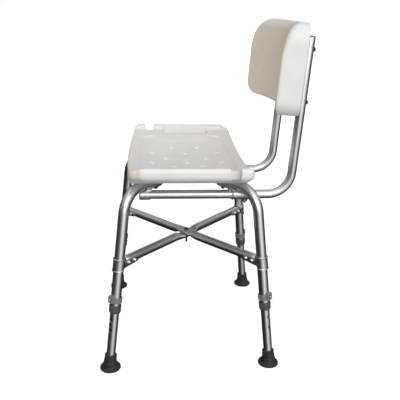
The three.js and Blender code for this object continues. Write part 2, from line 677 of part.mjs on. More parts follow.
function seat() {
  const far = SEAT.halfLength + 5;
  const halfUs = [0, 47, 94, 130, 160, PAN.endFrom, PAN.endTo, 205, GRIP_BAR.from, GRIP_BAR.to, far];
  const us = [...halfUs.slice(1).reverse().map((u) => -u), ...halfUs];
  const vs = [-165, -140, -126, -118, -110, -100, 0, 88, 98, 105, 113, 122, 150];
  const shell = slab(us, vs, (x, y) => [x, y, seatUnder(x, y)], (x, y) => [x, y, seatTop(x, y)]);
  const prism = prismOf(seatOutline(), 100).translate(0, 0, SEAT_TOOLS);
  const body = geometryOf(solid(shell).intersect(solid(prism)));
  const cuts = [];
  DRAIN_ROWS.forEach((row) => {
    row.y.forEach((y) => cuts.push(upright(row.x, y, rod(DRAIN_RADIUS, SEAT_TOOLS, 540, 8))));
  });
  [-1, 1].forEach((end) => {
    const turnAbout = (geometry) => {
      geometry.translate(0, -SEAT_MIDDLE_Y, 0);
      geometry.rotateZ(end < 0 ? 0 : Math.PI);
      return geometry.translate(0, SEAT_MIDDLE_Y, 0);
    };
    const slotFar = -HAND_SLOT.x - HAND_SLOT.width / 2;
    const slot = roundedRectangle(
      slotFar, slotFar + HAND_SLOT.width, HAND_SLOT.yLow, HAND_SLOT.yHigh, HAND_SLOT.corner,
    );
    cuts.push(turnAbout(prismOf(slot, 100, 4).translate(0, 0, SEAT_TOOLS)));
    const notchFar = -SEAT.halfLength - 20;
    const notchLow = -NOTCH.y - NOTCH.width / 2;
    const notch = roundedRectangle(
      notchFar, -SEAT.halfLength + NOTCH.depth, notchLow, notchLow + NOTCH.width, NOTCH.corner,
    );
    cuts.push(turnAbout(prismOf(notch, 100, 2).translate(0, 0, SEAT_TOOLS)));
  });
  const insertHole = () => rod(BOLT_HOLE, SEAT_TOOLS, INSERT_DEPTH, 10);
  CORNERS.forEach((corner) => {
    cuts.push(insertHole().translate(SEAT_BOLT_RADIUS, 0, 0).rotateZ(corner.turn));
  });
  cuts.push(insertHole());
  return cut(body, cuts);
}

add('seat', seat(), WHITE_PLASTIC);

// Backrest: a curved panel with a hollowed front face and deep, round-cornered side wings

function backRear(u) {
  return BACK_REAR.middle - u ** 2 / (2 * BACK_REAR.arc);
}

function backFront(u, share) {
  const full = BACK_FRONT.middle - u ** 2 / (2 * BACK_FRONT.arc);
  const depth = backRear(u) - full;
  const ends = Math.sqrt(Math.max(0, 1 - (1 - clamp(share, 0, 1)) ** 2));
  return backRear(u) - depth * lerp(BACK_FRONT.edgeShare, 1, ends);
}

function backrestPanel() {
  const height = BACK.top - BACK.bottom;
  const us = evenly(-BACK.halfWidth - 5, BACK.halfWidth + 5, 16);
  const { edge } = BACK_FRONT;
  const nearEdge = [0, 4, 10, 18, edge];
  const vs = [...nearEdge, ...nearEdge.map((v) => height - v).reverse()];
  const share = (v) => Math.min(v, height - v) / edge;
  const panel = slab(us, vs, (u, v) => [u, backFront(u, share(v)), v], (u, v) => [u, backRear(u), v]);
  panel.index.array.reverse();
  const outline = roundedRectangle(-BACK.halfWidth, BACK.halfWidth, 0, height, BACK.corner);
  const prism = prismOf(outline, 140).rotateX(Math.PI / 2).translate(0, 20, 0);
  const body = geometryOf(solid(panel).intersect(solid(prism)));
  onBackTube(body, BACK.bottom);
  const cuts = [];
  [-1, 1].forEach((side) => {
    BACK_BOLT_HEIGHTS.forEach((heightUp) => {
      const hole = rod(RIVET_HOLE, -BACK_BOLT.inner - 1, 5, 8).rotateX(-Math.PI / 2);
      cuts.push(onBackTube(hole, heightUp).translate(side * BACK_TUBE_X, 0, 0));
    });
  });
  return cut(body, cuts);
}

add('backrest_panel', backrestPanel(), WHITE_PLASTIC);

// Origin: on the floor, under the middle of the whole chair

chair.updateMatrixWorld(true);
const extent = new THREE.Box3().setFromObject(chair, true);
chair.position.y = -(extent.min.y + extent.max.y) / 2;

export default chair;
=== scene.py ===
"""Shower chair: the finished looks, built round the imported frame.

Lengths are millimetres in the chair's own frame: +Z up from the floor, the sitter faces -Y, the sitter's
left is +X, and the two leg bows cross above X 0, Y 0. A mesh is turned into metres as it is made, and
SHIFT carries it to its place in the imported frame.
"""

import json
import math

import bpy
import numpy as np
from mathutils import Matrix, Vector


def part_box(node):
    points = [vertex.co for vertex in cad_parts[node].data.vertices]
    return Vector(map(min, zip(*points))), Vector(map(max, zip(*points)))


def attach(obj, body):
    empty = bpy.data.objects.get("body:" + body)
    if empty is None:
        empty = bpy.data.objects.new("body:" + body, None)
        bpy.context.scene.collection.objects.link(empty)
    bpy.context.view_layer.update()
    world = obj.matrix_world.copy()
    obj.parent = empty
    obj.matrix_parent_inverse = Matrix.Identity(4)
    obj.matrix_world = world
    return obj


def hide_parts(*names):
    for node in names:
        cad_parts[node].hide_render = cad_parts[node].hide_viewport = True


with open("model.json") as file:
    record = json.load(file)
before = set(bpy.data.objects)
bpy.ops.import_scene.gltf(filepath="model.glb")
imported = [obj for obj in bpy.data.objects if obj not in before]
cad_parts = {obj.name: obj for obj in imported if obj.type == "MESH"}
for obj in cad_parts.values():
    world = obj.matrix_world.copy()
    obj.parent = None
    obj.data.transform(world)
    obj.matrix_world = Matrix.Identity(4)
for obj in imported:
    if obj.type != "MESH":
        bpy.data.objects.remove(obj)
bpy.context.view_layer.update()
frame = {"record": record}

MM = 0.001
CROSSING_LOW, CROSSING_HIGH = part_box("seat_bolt_centre")
SHIFT = Matrix.Translation((0, (CROSSING_LOW.y + CROSSING_HIGH.y) / 2, 0))
BODY_OF = {node: body for body, nodes in frame["record"]["behaviour"]["bodies"].items() for node in nodes}

# Driving dimensions

GAP = 0.3                        # clearance between pieces that touch
WALL = 1.2                       # of every tube
LEG_RADIUS = 12.7
INNER_TUBE_RADIUS = 11.1         # leg extensions, cross braces and backrest tubes
FOOT_REACH = 301.5               # from the middle to a leg's axis at the floor
FOOT_TURN = 0.7397               # of the bows' planes from the X axis, radians
LEG_LEAN = 0.1528                # of each leg from upright, radians
BOW_HEIGHT = 453
BOW_BEND = 66
BOW_FLAT = 10                    # thickness where the bows cross
BRACE_HEIGHT = 276
BRACE_FLAT = 8
BRACE_END = 243                  # from the middle
BRACKET_TIP = 205
BRACKET_HEIGHTS = (257, 289)
RIVETS = (218.5, 238)            # distances from the middle
RIVET_HEIGHT = 274.5
BUTTON_HEIGHT = 188
HOLE_PITCH = 28
FERRULE_LIP = 160
BACK_X = 114                     # backrest tubes: either side of the middle
BACK_Z = 424
BACK_FRONT = -122
BACK_CORNER_Y = 249.6
BACK_TOP = 806
BACK_BEND = 59
BACK_LEAN = 0.0625               # from upright, radians
BACK_BOLTS = (656, 779)          # heights
SEAT_BOLT_REACH = 125            # from the middle, along each bow
LOCK_Y = 137

CORNERS = {
    "rear_left": (FOOT_TURN, 1, 1),
    "front_right": (FOOT_TURN + math.pi, -1, -1),
    "front_left": (-FOOT_TURN, 1, -1),
    "rear_right": (math.pi - FOOT_TURN, -1, 1),
}

AROUND = 48                      # points round a tube
SHELL_PITCH = 1.9                # size of the quads on the seat and the backrest


# Materials

class Nodes:
    """A material's or world's node tree, with short calls for its nodes and links."""

    def __init__(self, owner):
        owner.use_nodes = True
        self.tree = owner.node_tree

    def node(self, kind, **settings):
        made = self.tree.nodes.new(kind)
        for key, value in settings.items():
            setattr(made, key, value)
        return made

    def link(self, source, target):
        self.tree.links.new(source, target)


class Shader(Nodes):
    """A Principled material with short calls for its textures."""

    def __init__(self, name, roughness, metallic=0.0):
        self.material = bpy.data.materials.new(name)
        super().__init__(self.material)
        self.main = self.tree.nodes["Principled BSDF"]
        self.main.inputs["Metallic"].default_value = metallic
        self.main.inputs["Roughness"].default_value = roughness

    def coordinates(self, kind, stretch=(1, 1, 1)):
        source = self.node("ShaderNodeTexCoord")
        mapping = self.node("ShaderNodeMapping")
        mapping.inputs["Scale"].default_value = stretch
        self.link(source.outputs[kind], mapping.inputs["Vector"])
        return mapping.outputs["Vector"]

    def noise(self, vector, scale, detail=3.0, roughness=0.55):
        made = self.node("ShaderNodeTexNoise")
        made.inputs["Scale"].default_value = scale
        made.inputs["Detail"].default_value = detail
        made.inputs["Roughness"].default_value = roughness
        self.link(vector, made.inputs["Vector"])
        return made.outputs["Fac"]

    def span(self, value, low, high, start=0.3, end=0.7):
        """A value from start to end becomes one from low to high."""
        made = self.node("ShaderNodeMapRange")
        made.inputs["From Min"].default_value = start
        made.inputs["From Max"].default_value = end
        made.inputs["To Min"].default_value = low
        made.inputs["To Max"].default_value = high
        self.link(value, made.inputs["Value"])
        return made.outputs["Result"]

    def blend(self, share, first, second):
        made = self.node("ShaderNodeMix", data_type="RGBA")
        self.link(share, made.inputs["Factor"])
        for socket, colour in ((made.inputs["A"], first), (made.inputs["B"], second)):
            if isinstance(colour, tuple):
                socket.default_value = (*colour, 1)
            else:
                self.link(colour, socket)
        return made.outputs["Result"]

    def bump(self, height, strength, depth, under=None):
        made = self.node("ShaderNodeBump")
        made.inputs["Strength"].default_value = strength
        made.inputs["Distance"].default_value = depth
        self.link(height, made.inputs["Height"])
        if under is not None:
            self.link(under, made.inputs["Normal"])
        return made.outputs["Normal"]

    def finish(self, colour, roughness, normal):
        self.link(colour, self.main.inputs["Base Color"])
        self.link(roughness, self.main.inputs["Roughness"])
        self.link(normal, self.main.inputs["Normal"])
        return self.material


def drawn_aluminium():
    """Satin anodised tube: lengthwise drawing lines along the tube's own UV, and faint handling marks."""
    made = Shader("satin_drawn_aluminium", 0.3, metallic=1.0)
    lines = made.noise(made.coordinates("UV", (70, 0.5, 1)), 2.4, 4.0, 0.65)
    marks = made.noise(made.coordinates("Object"), 38.0, 4.0, 0.6)
    colour = made.blend(made.span(lines, 0, 1), (0.70, 0.71, 0.72), (0.79, 0.795, 0.80))
    dulled = made.blend(made.span(marks, 0, 1, 0.55, 0.75), colour, (0.68, 0.685, 0.69))
    rough = made.node("ShaderNodeMath", operation="ADD")
    made.link(made.span(lines, 0.24, 0.33), rough.inputs[0])
    made.link(made.span(marks, 0.0, 0.07), rough.inputs[1])
    fine = made.bump(lines, 0.12, 0.0001)
    return made.finish(dulled, rough.outputs[0], fine)


def pressed_aluminium():
    """Satin aluminium sheet of the brackets: a fine blasted grain."""
    made = Shader("satin_pressed_aluminium", 0.36, metallic=1.0)
    grain = made.noise(made.coordinates("Object"), 900.0, 3.0)
    marks = made.noise(made.coordinates("Object"), 60.0, 4.0)
    colour = made.blend(made.span(marks, 0, 1), (0.60, 0.605, 0.61), (0.72, 0.725, 0.73))
    return made.finish(colour, made.span(marks, 0.30, 0.42), made.bump(grain, 0.15, 0.0002))


def plated_steel(name, dark, light):
    made = Shader(name, 0.3, metallic=1.0)
    rings = made.noise(made.coordinates("UV", (0.4, 60, 1)), 2.0, 3.0)
    stains = made.noise(made.coordinates("Object"), 160.0, 3.0)
    colour = made.blend(made.span(stains, 0, 1), dark, light)
    return made.finish(colour, made.span(rings, 0.22, 0.38), made.bump(rings, 0.1, 0.0001))


def moulded_polyethylene():
    """Blow-moulded seat and back: a fine pebbled skin, faintly uneven in colour and gloss."""
    made = Shader("grained_polyethylene", 0.48)
    made.main.inputs["Subsurface Weight"].default_value = 0.12
    made.main.inputs["Subsurface Radius"].default_value = (1.0, 0.75, 0.5)
    made.main.inputs["Subsurface Scale"].default_value = 0.004
    place = made.coordinates("Object")
    pebbles = made.node("ShaderNodeTexVoronoi", feature="SMOOTH_F1")
    pebbles.inputs["Scale"].default_value = 430.0
    made.link(place, pebbles.inputs["Vector"])
    cloud = made.noise(place, 26.0, 4.0, 0.6)
    speckle = made.noise(place, 700.0, 2.0)
    colour = made.blend(made.span(cloud, 0, 1), (0.775, 0.775, 0.768), (0.822, 0.822, 0.82))
    speckled = made.blend(made.span(speckle, 0, 0.35, 0.5, 0.75), colour, (0.73, 0.72, 0.70))
    waves = made.bump(cloud, 0.06, 0.002)
    skin = made.bump(pebbles.outputs["Distance"], 0.32, 0.0004, waves)
    return made.finish(speckled, made.span(speckle, 0.42, 0.56), skin)


def satin_plastic(name, dark, light):
    made = Shader(name, 0.5)
    place = made.coordinates("Object")
    grain = made.noise(place, 1100.0, 2.0)
    cloud = made.noise(place, 120.0, 3.0)
    colour = made.blend(made.span(cloud, 0, 1), dark, light)
    return made.finish(colour, made.span(grain, 0.42, 0.58), made.bump(grain, 0.12, 0.0002))


def moulded_rubber():
    made = Shader("moulded_rubber", 0.7)
    place = made.coordinates("Object")
    grain = made.noise(place, 800.0, 3.0)
    dust = made.noise(place, 70.0, 5.0, 0.65)
    colour = made.blend(made.span(dust, 0, 1, 0.4, 0.8), (0.014, 0.015, 0.014), (0.034, 0.036, 0.033))
    return made.finish(colour, made.span(dust, 0.55, 0.8), made.bump(grain, 0.25, 0.0003))


ALUMINIUM = (drawn_aluminium(), "aluminium")
SHEET_METAL = (pressed_aluminium(), "aluminium")
STEEL = (plated_steel("dark_plated_steel", (0.07, 0.07, 0.072), (0.12, 0.12, 0.122)), "steel")
BRIGHT_STEEL = (plated_steel("bright_plated_steel", (0.72, 0.72, 0.73), (0.86, 0.86, 0.87)), "steel")
WHITE = (moulded_polyethylene(), "white_plastic")
GREY = (satin_plastic("blue_grey_plastic", (0.15, 0.165, 0.18), (0.21, 0.23, 0.25)), "grey_plastic")
DARK = (satin_plastic("dark_grey_plastic", (0.060, 0.062, 0.058), (0.088, 0.09, 0.085)), "dark_plastic")
RUBBER = (moulded_rubber(), "rubber")


# Meshes and pieces

def mesh_of(name, points, faces, uvs=None):
    """A smooth mesh from millimetres. uvs holds one (u, v) for each point."""
    mesh = bpy.data.meshes.new(name)
    mesh.from_pydata((np.asarray(points, float) * MM).tolist(), [], [list(face) for face in faces])
    mesh.shade_smooth()
    if uvs is not None:
        layer = mesh.uv_layers.new(name="along")
        corners = np.zeros(len(mesh.loops), int)
        mesh.loops.foreach_get("vertex_index", corners)
        layer.data.foreach_set("uv", np.asarray(uvs, np.float32)[corners].ravel())
    return mesh


def piece(node, mesh, finish, matrix=Matrix()):
    """The finished piece that stands for a CAD node and moves with its body."""
    material, slot = finish
    own = mesh.copy()
    own.name = f"{node}_mesh"
    own.transform(SHIFT @ matrix)
    own.materials.append(material)
    made = bpy.data.objects.new(f"{node}_finished", own)
    bpy.context.scene.collection.objects.link(made)
    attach(made, BODY_OF[node])
    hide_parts(node)


def turned_about_z(angle):
    return Matrix.Rotation(angle, 4, "Z")


def rings_to_faces(count, around, loop=False):
    """Quads between rings of points, one after another, the last joined to the first in a loop."""
    faces = []
    for r in range(count if loop else count - 1):
        after = (r + 1) % count
        for i in range(around):
            j = (i + 1) % around
            faces.append((r * around + i, r * around + j, after * around + j, after * around + i))
    return faces


def smoothstep(value, low, high):
    share = np.clip((value - low) / (high - low), 0, 1)
    return share * share * (3 - 2 * share)


def mix(first, second, share):
    return first + (second - first) * share


# Tubes

def centreline(waypoints, fine=3.0, coarse=14.0):
    """Points and directions along runs joined by arcs: waypoints are (x, z) or (x, z, bend radius)."""
    places = [np.array(w[:2], float) for w in waypoints]
    line = [places[0]]
    for i in range(1, len(places)):
        bend = waypoints[i][2] if len(waypoints[i]) > 2 else 0
        arriving = places[i] - places[i - 1]
        arriving = arriving / np.linalg.norm(arriving)
        if not bend:
            line += runs(line[-1], places[i], coarse)
            continue
        leaving = places[i + 1] - places[i]
        leaving = leaving / np.linalg.norm(leaving)
        turn = math.atan2(arriving[0] * leaving[1] - arriving[1] * leaving[0], arriving @ leaving)
        start = places[i] - arriving * bend * math.tan(abs(turn) / 2)
        line += runs(line[-1], start, coarse)
        side = math.copysign(1, turn)
        centre = start + side * bend * np.array([-arriving[1], arriving[0]])
        steps = max(8, round(abs(turn) * bend / fine))
        for k in range(1, steps + 1):
            angle = turn * k / steps
            radial = start - centre
            line.append(centre + np.array([
                radial[0] * math.cos(angle) - radial[1] * math.sin(angle),
                radial[0] * math.sin(angle) + radial[1] * math.cos(angle),
            ]))
    line = np.array(line)
    direction = np.gradient(line, axis=0)
    return line, direction / np.linalg.norm(direction, axis=1)[:, None]


def runs(start, end, step):
    """Points on the way from start to end, end included and start not."""
    length = np.linalg.norm(end - start)
    count = max(1, round(length / step))
    return [start + (end - start) * k / count for k in range(1, count + 1)]


def pressed_width(radius, thickness):
    """The width of a round tube pressed to a thickness: its way round stays the same."""
    return (math.pi * (2 * radius - thickness)) / 2 + thickness


def section(high, wide, around):
    """Offsets (up, across) of a round-ended section, which is a circle when high and wide are equal."""
    angle = (np.arange(around) + 0.5) / around * 2 * math.pi
    blunt = min(high, wide) / 2
    up = np.sign(np.cos(angle)) * (high / 2 - blunt) + blunt * np.cos(angle)
    across = np.sign(np.sin(angle)) * (wide / 2 - blunt) + blunt * np.sin(angle)
    return up, across, angle


def tube_mesh(name, line, direction, sizes, lifts=None, wall=WALL, lip=0.4):
    """A hollow tube in the XZ plane. sizes holds each station's (high, wide)."""
    along = np.concatenate([[0], np.cumsum(np.linalg.norm(np.diff(line, axis=0), axis=1))])
    lifts = np.zeros(len(line)) if lifts is None else lifts
    rows, uvs = [], []

    def ring(i, inset, slide=0.0):
        high, wide = sizes[i]
        up, across, angle = section(high - 2 * inset, wide - 2 * inset, AROUND)
        x = line[i][0] - up * direction[i][1] + slide * direction[i][0]
        z = line[i][1] + lifts[i] + up * direction[i][0] + slide * direction[i][1]
        rows.append(np.stack([x, across, z], axis=1))
        uvs.append(np.stack([angle * LEG_RADIUS / 100, np.full(AROUND, along[i] / 100)], axis=1))

    last = len(line) - 1
    ring(0, lip)
    ring(0, 0, lip)
    for i in range(1, last):
        ring(i, 0)
    ring(last, 0, -lip)
    ring(last, lip)
    ring(last, wall)
    for i in range(last - 1, 0, -1):
        ring(i, wall)
    ring(0, wall)
    faces = [face[::-1] for face in rings_to_faces(len(rows), AROUND, loop=True)]
    return mesh_of(name, np.concatenate(rows), faces, np.concatenate(uvs))


def bow_mesh(name, lift):
    """One leg bow: leg, bend, level run, and a pressed flat where the other bow crosses."""
    corner = FOOT_REACH - math.tan(LEG_LEAN) * BOW_HEIGHT
    foot = (FOOT_REACH - FERRULE_LIP * math.sin(LEG_LEAN), FERRULE_LIP * math.cos(LEG_LEAN))
    half = [foot, (corner, BOW_HEIGHT, BOW_BEND), (70, BOW_HEIGHT)]
    middle = [(x, BOW_HEIGHT) for x in range(62, -70, -4)]
    mirrored = [(-w[0], *w[1:]) for w in reversed(half)]
    line, direction = centreline(half + middle + mirrored)
    round_share = smoothstep(np.abs(line[:, 0]), 20, 58)
    round_share[line[:, 1] < BOW_HEIGHT - 0.5] = 1
    high = mix(BOW_FLAT, 2 * LEG_RADIUS, round_share)
    wide = mix(pressed_width(LEG_RADIUS, BOW_FLAT), 2 * LEG_RADIUS, round_share)
    return tube_mesh(name, line, direction, np.stack([high, wide], 1), lift * (1 - round_share))


def brace_mesh(name, lift):
    """One cross brace: a level tube, pressed flat in the middle."""
    stops = [*range(BRACE_END, 60, -15), *range(56, -1, -4)]
    xs = stops + [-x for x in reversed(stops[:-1])]
    line = np.array([(x, BRACE_HEIGHT) for x in xs], float)
    direction = np.tile([-1.0, 0.0], (len(xs), 1))
    level = 1 - smoothstep(np.abs(line[:, 0]), 14, 46)
    across = 2 * INNER_TUBE_RADIUS
    high = mix(across, BRACE_FLAT, level)
    wide = mix(across, pressed_width(INNER_TUBE_RADIUS, BRACE_FLAT), level)
    return tube_mesh(name, line, direction, np.stack([high, wide], 1), lift * level)


def back_tube_y(height):
    return BACK_CORNER_Y + (height - BACK_Z) * math.tan(BACK_LEAN)


def back_tube_mesh(name):
    ends = [(BACK_FRONT, BACK_Z), (BACK_CORNER_Y, BACK_Z, BACK_BEND), (back_tube_y(BACK_TOP), BACK_TOP)]
    line, direction = centreline(ends)
    size = np.full((len(line), 2), 2.0 * INNER_TUBE_RADIUS)
    return tube_mesh(name, line, direction, size)


def extension_mesh(name):
    """A leg's lower tube, upright on Z, with its row of adjustment holes through the outer wall on +X."""
    low, high, hole = 20, 300, 3.4
    heights = [BUTTON_HEIGHT - step * HOLE_PITCH for step in (3, 2, 1, 0, -1)]
    marks = np.array([-1.7, -1, -0.5, 0, 0.5, 1, 1.7])     # rows and columns round a hole, in hole radii
    plain_rows = [low, low + 8, 60, 80, 100, high - 30, high]
    rows = sorted(plain_rows + [h + m * hole for h in heights for m in marks])
    columns = [math.asin(m * hole / INNER_TUBE_RADIUS) for m in marks]
    spare = AROUND - len(columns)
    gap = (2 * math.pi - 2 * columns[-1]) / (spare + 1)
    columns += [columns[-1] + gap * (k + 1) for k in range(spare)]
    middle_column = 3
    points, uvs, faces = [], [], []
    for radius in (INNER_TUBE_RADIUS, INNER_TUBE_RADIUS - WALL):
        for row in rows:
            for c, angle in enumerate(columns):
                height = row
                nearest = min(heights, key=lambda h: abs(h - row))
                side, rise = marks[c] if c < len(marks) else 9, (row - nearest) / hole
                if max(abs(side), abs(rise)) < 1.01 and (side or rise):
                    away = max(abs(side), abs(rise)) / math.hypot(side, rise)
                    angle = math.asin(side * away * hole / radius)
                    height = nearest + rise * away * hole
                points.append((radius * math.cos(angle), radius * math.sin(angle), height))
                uvs.append((angle * radius / 100, height / 100))
    layer = len(rows) * AROUND
    open_cells = set()
    for r in range(len(rows) - 1):
        for c in range(AROUND):
            d = (c + 1) % AROUND
            middle = (rows[r] + rows[r + 1]) / 2
            in_hole = any(abs(middle - h) < hole for h in heights) and abs(c + 0.5 - middle_column) < 2
            if in_hole:
                open_cells.add((r, c))
                continue
            a, b, e, f = r * AROUND + c, r * AROUND + d, (r + 1) * AROUND + d, (r + 1) * AROUND + c
            faces += [(a, b, e, f), (layer + f, layer + e, layer + b, layer + a)]
    for r, c in open_cells:
        sides = {
            (r - 1, c): (r * AROUND + c, r * AROUND + c + 1),
            (r + 1, c): ((r + 1) * AROUND + c + 1, (r + 1) * AROUND + c),
            (r, c - 1): ((r + 1) * AROUND + c, r * AROUND + c),
            (r, c + 1): (r * AROUND + c + 1, (r + 1) * AROUND + c + 1),
        }
        for neighbour, (a, b) in sides.items():
            if neighbour not in open_cells:
                faces.append((a, b, layer + b, layer + a))
    top = (len(rows) - 1) * AROUND
    for c in range(AROUND):
        d = (c + 1) % AROUND
        faces.append((d, c, layer + c, layer + d))
        faces.append((top + c, top + d, layer + top + d, layer + top + c))
    return mesh_of(name, points, faces, uvs)


# Turned pieces

def softened(profile, radius, steps=3):
    """The profile with its corners rounded, but not its two ends."""
    made = [profile[0]]
    for before, corner, after in zip(profile, profile[1:], profile[2:]):
        corner = np.array(corner, float)
        back = np.array(before) - corner
        on = np.array(after) - corner
        reach = min(radius, 0.45 * np.linalg.norm(back), 0.45 * np.linalg.norm(on))
        start = corner + back / np.linalg.norm(back) * reach
        end = corner + on / np.linalg.norm(on) * reach
        for k in range(steps + 1):
            t = k / steps
            made.append(tuple((1 - t) ** 2 * start + 2 * t * (1 - t) * corner + t**2 * end))
    return made + [profile[-1]]


def hexagon(flat, angle):
    """Distance from the middle of a hexagon to its side, for a distance to the flats."""
    return flat / np.cos((angle + math.pi / 6) % (math.pi / 3) - math.pi / 6)


def turned_mesh(name, profile, soft=0.4, around=40, form=None):
    """A turned solid on Z: profile holds (radius, height) from one end to the other."""
    profile = softened(profile, soft) if soft else profile
    angle = np.arange(around) / around * 2 * math.pi
    points, uvs = [], []
    along = 0
    for i, (radius, height) in enumerate(profile):
        if i:
            along += math.dist(profile[i - 1], profile[i])
        away = np.full(around, max(radius, 0.01))
        if form:
            away = form(away, angle)
        points.append(np.stack([away * np.cos(angle), away * np.sin(angle), np.full(around, height)], 1))
        uvs.append(np.stack([angle * 0.1, np.full(around, along / 100)], 1))
    closed = math.dist(profile[0], profile[-1]) < 1e-6
    if closed:
        points.pop()
        uvs.pop()
    faces = rings_to_faces(len(points), around, loop=closed)
    if not closed:
        faces.append(tuple(reversed(range(around))))
        faces.append(tuple(range((len(points) - 1) * around, len(points) * around)))
    return mesh_of(name, np.concatenate(points), faces, np.concatenate(uvs))


def thread(radius, low, high, pitch=1.0, depth=0.35):
    """The ridged outline of a screw thread from low to high."""
    turns = round((high - low) / pitch)
    outline = []
    for k in range(turns):
        outline += [(radius - depth, low + pitch * k), (radius, low + pitch * (k + 0.5))]
    return outline + [(radius - depth, high)]


# Moulded pieces: distance fields, negative inside, turned into quads

def meet(first, second, radius):
    """The overlap of two solids, its edge rounded."""
    corner = np.hypot(np.maximum(first + radius, 0), np.maximum(second + radius, 0))
    return corner + np.minimum(np.maximum(first, second), -radius)


def weld(first, second, radius):
    """Two solids joined with a fillet."""
    return -meet(-first, -second, radius)


def carve(body, tool, radius):
    """A solid less a tool, its new edges rounded."""
    return meet(body, -tool, radius)


def surface_mesh(name, field, low, high, pitch):
    """A quad mesh of the field's zero surface, its points moved onto the surface itself."""
    low = np.array(low, float) - 1.3 * pitch
    counts = np.ceil((np.array(high, float) + 1.3 * pitch - low) / pitch).astype(int) + 1
    axes = [low[k] + pitch * np.arange(counts[k]) for k in range(3)]
    value = field(*np.meshgrid(*axes, indexing="ij"))
    inside = value < 0
    cells = counts - 1
    total = np.zeros((*cells, 3))
    hits = np.zeros(cells)
    crossings = []
    for k in range(3):
        first = np.moveaxis(value, k, 0)[:-1]
        second = np.moveaxis(value, k, 0)[1:]
        first, second = np.moveaxis(first, 0, k), np.moveaxis(second, 0, k)
        crossing = (first < 0) != (second < 0)
        crossings.append(crossing)
        share = np.where(crossing, first / np.where(crossing, first - second, 1), 0)
        i, j = [m for m in range(3) if m != k]
        for di in (0, 1):
            for dj in (0, 1):
                window = [slice(None)] * 3
                window[i] = slice(di, di + cells[i])
                window[j] = slice(dj, dj + cells[j])
                seen = crossing[tuple(window)]
                total[..., k] += share[tuple(window)]
                total[..., i] += seen * di
                total[..., j] += seen * dj
                hits += seen
    used = hits > 0
    number = np.full(cells, -1)
    number[used] = np.arange(used.sum())
    points = low + pitch * (np.argwhere(used) + total[used] / hits[used][:, None])
    faces = []
    for k in range(3):
        i, j = (k + 1) % 3, (k + 2) % 3
        at = np.argwhere(crossings[k])
        at = at[(at[:, i] > 0) & (at[:, j] > 0) & (at[:, i] < cells[i]) & (at[:, j] < cells[j])]
        step_i, step_j = np.eye(3, dtype=int)[i], np.eye(3, dtype=int)[j]
        ring = [at - step_i - step_j, at - step_j, at, at - step_i]
        quads = np.stack([number[tuple(corner.T)] for corner in ring], 1)
        outward = inside[tuple(at.T)]
        quads[~outward] = quads[~outward][:, ::-1]
        faces.append(quads)
    return mesh_of(name, onto_surface(field, points, pitch), np.concatenate(faces))


def onto_surface(field, points, pitch, rounds=4, probe=0.05):
    for _ in range(rounds):
        here = field(*points.T)
        slope = np.stack([
            field(*(points + probe * axis).T) - field(*(points - probe * axis).T) for axis in np.eye(3)
        ], 1) / (2 * probe)
        move = here[:, None] * slope / np.maximum((slope**2).sum(1), 0.25)[:, None]
        length = np.linalg.norm(move, axis=1)[:, None]
        points = points - move * np.minimum(1, 0.6 * pitch / np.maximum(length, 1e-9))
    return points


# Seat

SEAT_HALF = 248.6                # of the shell; the grip bars stand proud of it
SEAT_CORNER = 17
RIM = (496, 520, 253)            # height at the middle and at the ends, and the ends' distance
RIM_LIFT = 5                     # of the top beside the grip bars
PAN_MIDDLE = 484.5               # height
SEAT_TURN_Y = -3.5               # the slots and notches are alike turned about here
PAN_END = 178
PAN_STEP = 3.2                   # the moulded line round the pan
PAN_LINE = 1.1                   # depth of the groove beside it
UNDERSIDE = (466.2, 496.5)       # heights at the middle and at the ends
GRIP = {"x": 240.4, "z": 514.3, "half": 12.2, "soft": 9, "low": -140, "high": 120, "end": 11}
SLOT = {"x": 211, "half_wide": 15, "low": -62, "high": 72, "corner": 14, "lean": 0.45, "lean_from": 504}
NOTCH = {"y": -100, "half_wide": 11.5, "depth": 24.5, "corner": 8}
DRAIN_RADIUS = 4.2
DIMPLE = {"radius": 9.4, "lift": 5.4}
DRAINS = [(-94, (-38, 32)), (-47, (-92, -4, 84)), (0, (-56, 50)), (47, (-92, -4, 84)), (94, (-38, 32))]


def seat_front(x):
    return -156 + 12 * (x / 240) ** 2


def seat_rear(x):
    return 140 - 3 * (x / 240) ** 2


def seat_top(x, y):
    """The rim and the flat ends, and inside the moulded line a pan that sinks a little further."""
    reach = np.abs(x)
    middle, end, end_at = RIM
    rim = mix(middle, end, (reach / end_at) ** 2) + RIM_LIFT * smoothstep(reach, 222, 246)
    sides = np.maximum(13 * (x / 190) ** 2 - 127 - y, y - 114 + 9 * (x / 180) ** 2)
    inside = -meet(sides, reach - PAN_END, 22)
    sunk = np.maximum(rim - PAN_STEP - PAN_MIDDLE - 6.2e-4 * reach**2, 0)
    soft = mix(32, 1.3, smoothstep(sides, -48, -14))
    step = PAN_STEP * smoothstep(inside, -soft, soft)
    groove = (1 - smoothstep(np.abs(inside - 1), 0.6, 2.6)) * smoothstep(sides, -30, -14)
    return rim - step - PAN_LINE * groove - sunk * smoothstep(inside, 0, 46)


def seat_bottom(x):
    return mix(*UNDERSIDE, smoothstep(np.abs(x), 150, 238))


def plain_corner(x, y):
    """One at the two corners that the grip bars stop short of, nothing elsewhere."""
    along = np.where(x > 0, SEAT_TURN_Y - y, y - SEAT_TURN_Y)
    return smoothstep(np.abs(x), 215, 245) * smoothstep(along, 105, 132)


def seat_field(x, y, z):
    ends = np.maximum(seat_front(x) - y, y - seat_rear(x))
    plain = plain_corner(x, y)
    outline = meet(np.abs(x) - SEAT_HALF + 6 * plain, ends, SEAT_CORNER)
    body = meet(outline, z - seat_top(x, y), 6)
    body = meet(body, seat_bottom(x) - z, mix(9.5, 18, plain))
    for end in (-1, 1):
        body = with_grip(body, x, y, z, end)
    for row_x, ys in DRAINS:
        for drain_y in ys:
            body = with_drain(body, x, y, z, row_x, drain_y)
    return body


